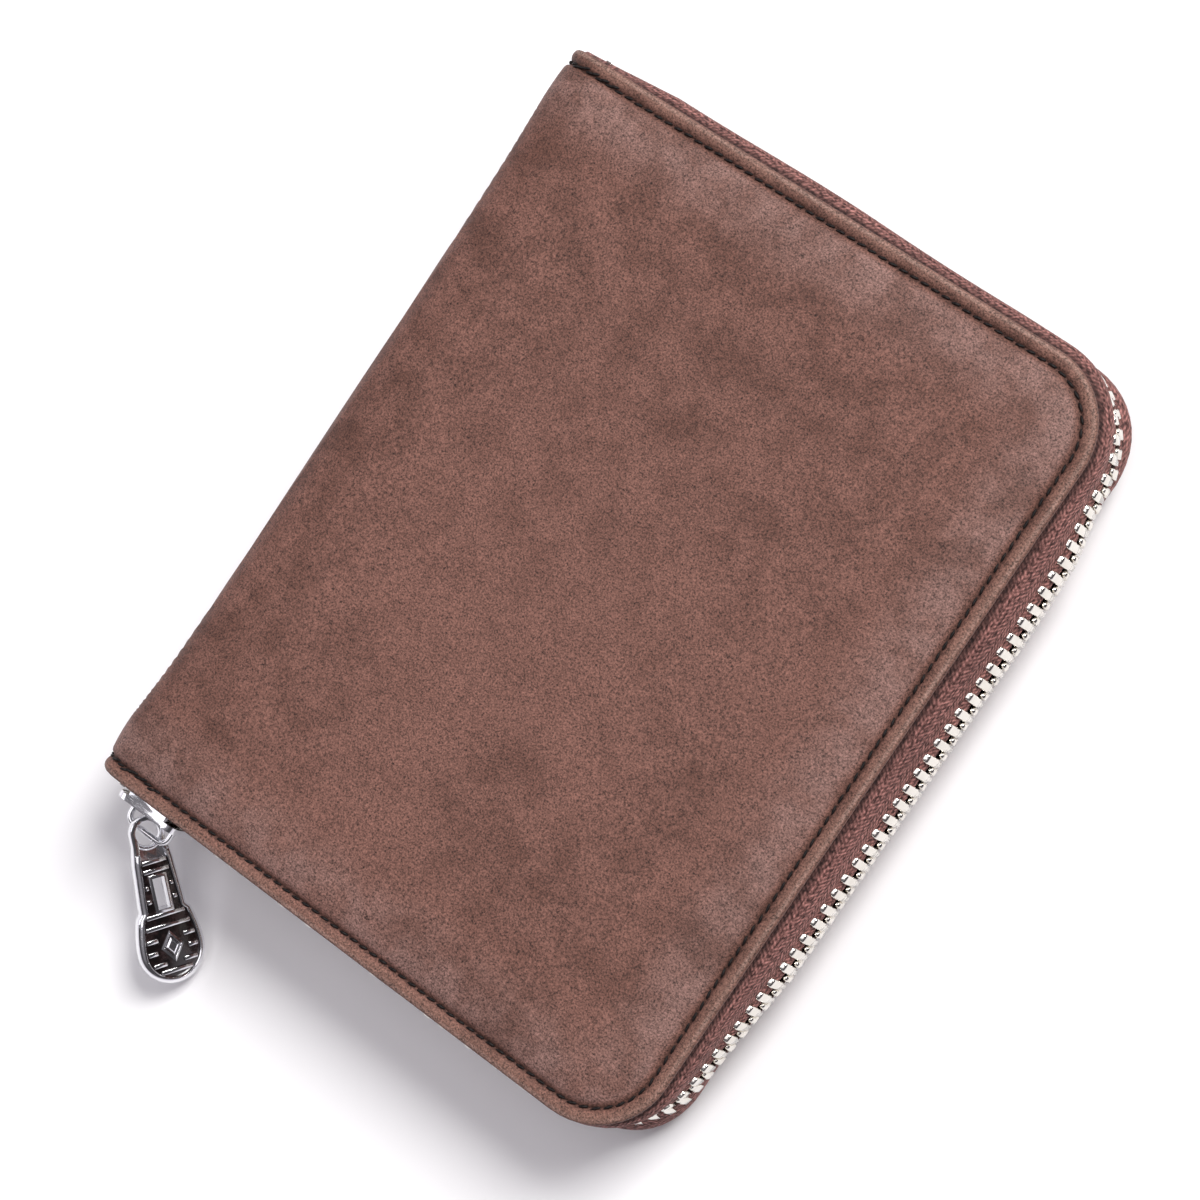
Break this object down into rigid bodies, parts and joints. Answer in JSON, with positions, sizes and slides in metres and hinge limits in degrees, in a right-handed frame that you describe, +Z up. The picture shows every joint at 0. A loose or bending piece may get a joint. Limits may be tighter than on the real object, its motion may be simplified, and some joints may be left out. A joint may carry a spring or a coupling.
{
  "type": "zip-around wallet",
  "caption": "Closed rectangular leather wallet that opens like a book, with a metal zip round its open sides and a hanging metal puller.",
  "frame": {"origin": "centre of the back cover's flat underside, on which the closed wallet lies", "axes": "+Z up out of the front cover, +Y along the spine, +X from the spine to the long zip side"},
  "size_m": [0.0955, 0.1439, 0.0217],
  "materials": {
    "cover_leather": "matte nubuck-like brown leather with a fine mottled grain",
    "padding": "soft off-white foam, hidden inside each cover, inferred",
    "stiffener_board": "plain grey-brown fibre board, hidden inside each cover",
    "lining_leather": "smooth darker brown leather, inferred",
    "pocket_fabric": "plain brown pocketing cloth, inferred",
    "thread": "black waxed thread",
    "zip_tape": "brown twill-woven zip tape",
    "nickel": "bright nickel-plated metal",
    "chrome": "polished chrome plate",
    "enamel": "black enamel fill"
  },
  "bodies": {
    "back_half": {"back_cover": "cover_leather", "back_padding": "padding", "back_board": "stiffener_board", "back_lining": "lining_leather", "back_seam_thread": "thread", "back_zip_tape": "zip_tape", "back_zip_teeth": "nickel", "back_top_stop": "nickel", "bottom_stop": "nickel", "bill_pocket": "lining_leather", "card_slot_1": "lining_leather", "card_slot_2": "lining_leather", "card_slot_3": "lining_leather", "card_slot_4": "lining_leather"},
    "spine": {"spine_cover": "cover_leather", "spine_lining": "lining_leather"},
    "front_half": {"front_cover": "cover_leather", "front_padding": "padding", "front_board": "stiffener_board", "front_lining": "lining_leather", "front_seam_thread": "thread", "front_zip_tape": "zip_tape", "front_zip_teeth": "nickel", "front_top_stop": "nickel", "coin_pocket_back": "lining_leather", "coin_pocket_gusset": "pocket_fabric", "coin_pocket_panel": "lining_leather", "coin_zip_tape": "zip_tape", "coin_zip_teeth": "nickel"},
    "slider": {"slider_body": "chrome", "slider_bridge": "chrome"},
    "puller": {"puller_body": "chrome", "puller_inlay": "enamel"},
    "coin_slider": {"coin_zip_slider": "chrome"},
    "coin_puller": {"coin_zip_puller": "chrome"}
  },
  "joints": [
    {"name": "spine_fold_back", "type": "hinge", "parent": "back_half", "child": "spine", "pos_m": [-0.0465, 0, 0.0012], "axis": [0, -1, 0], "range_deg": [0, 90]},
    {"name": "spine_fold_front", "type": "hinge", "parent": "spine", "child": "front_half", "pos_m": [-0.0465, 0, 0.0205], "axis": [0, -1, 0], "range_deg": [0, 90]},
    {"name": "slider_travel", "type": "slide", "parent": "back_half", "child": "slider", "axis": [1, 0, 0], "range_m": [0, 0.066], "deforming": ["back_zip_teeth", "front_zip_teeth"]},
    {"name": "puller_swing", "type": "hinge", "parent": "slider", "child": "puller", "pos_m": [-0.0387, -0.06525, 0.01085], "axis": [1, 0, 0], "range_deg": [-108, 47]},
    {"name": "coin_slider_travel", "type": "slide", "parent": "front_half", "child": "coin_slider", "axis": [-1, 0, 0], "range_m": [0, 0.05]},
    {"name": "coin_puller_swing", "type": "hinge", "parent": "coin_slider", "child": "coin_puller", "pos_m": [0.0267, 0.036, 0.01265], "axis": [0, 0, 1], "range_deg": [-90, 90]}
  ],
  "couplings": [
    {"joint": "spine_fold_front", "follows": "spine_fold_back", "ratio": 1}
  ]
}
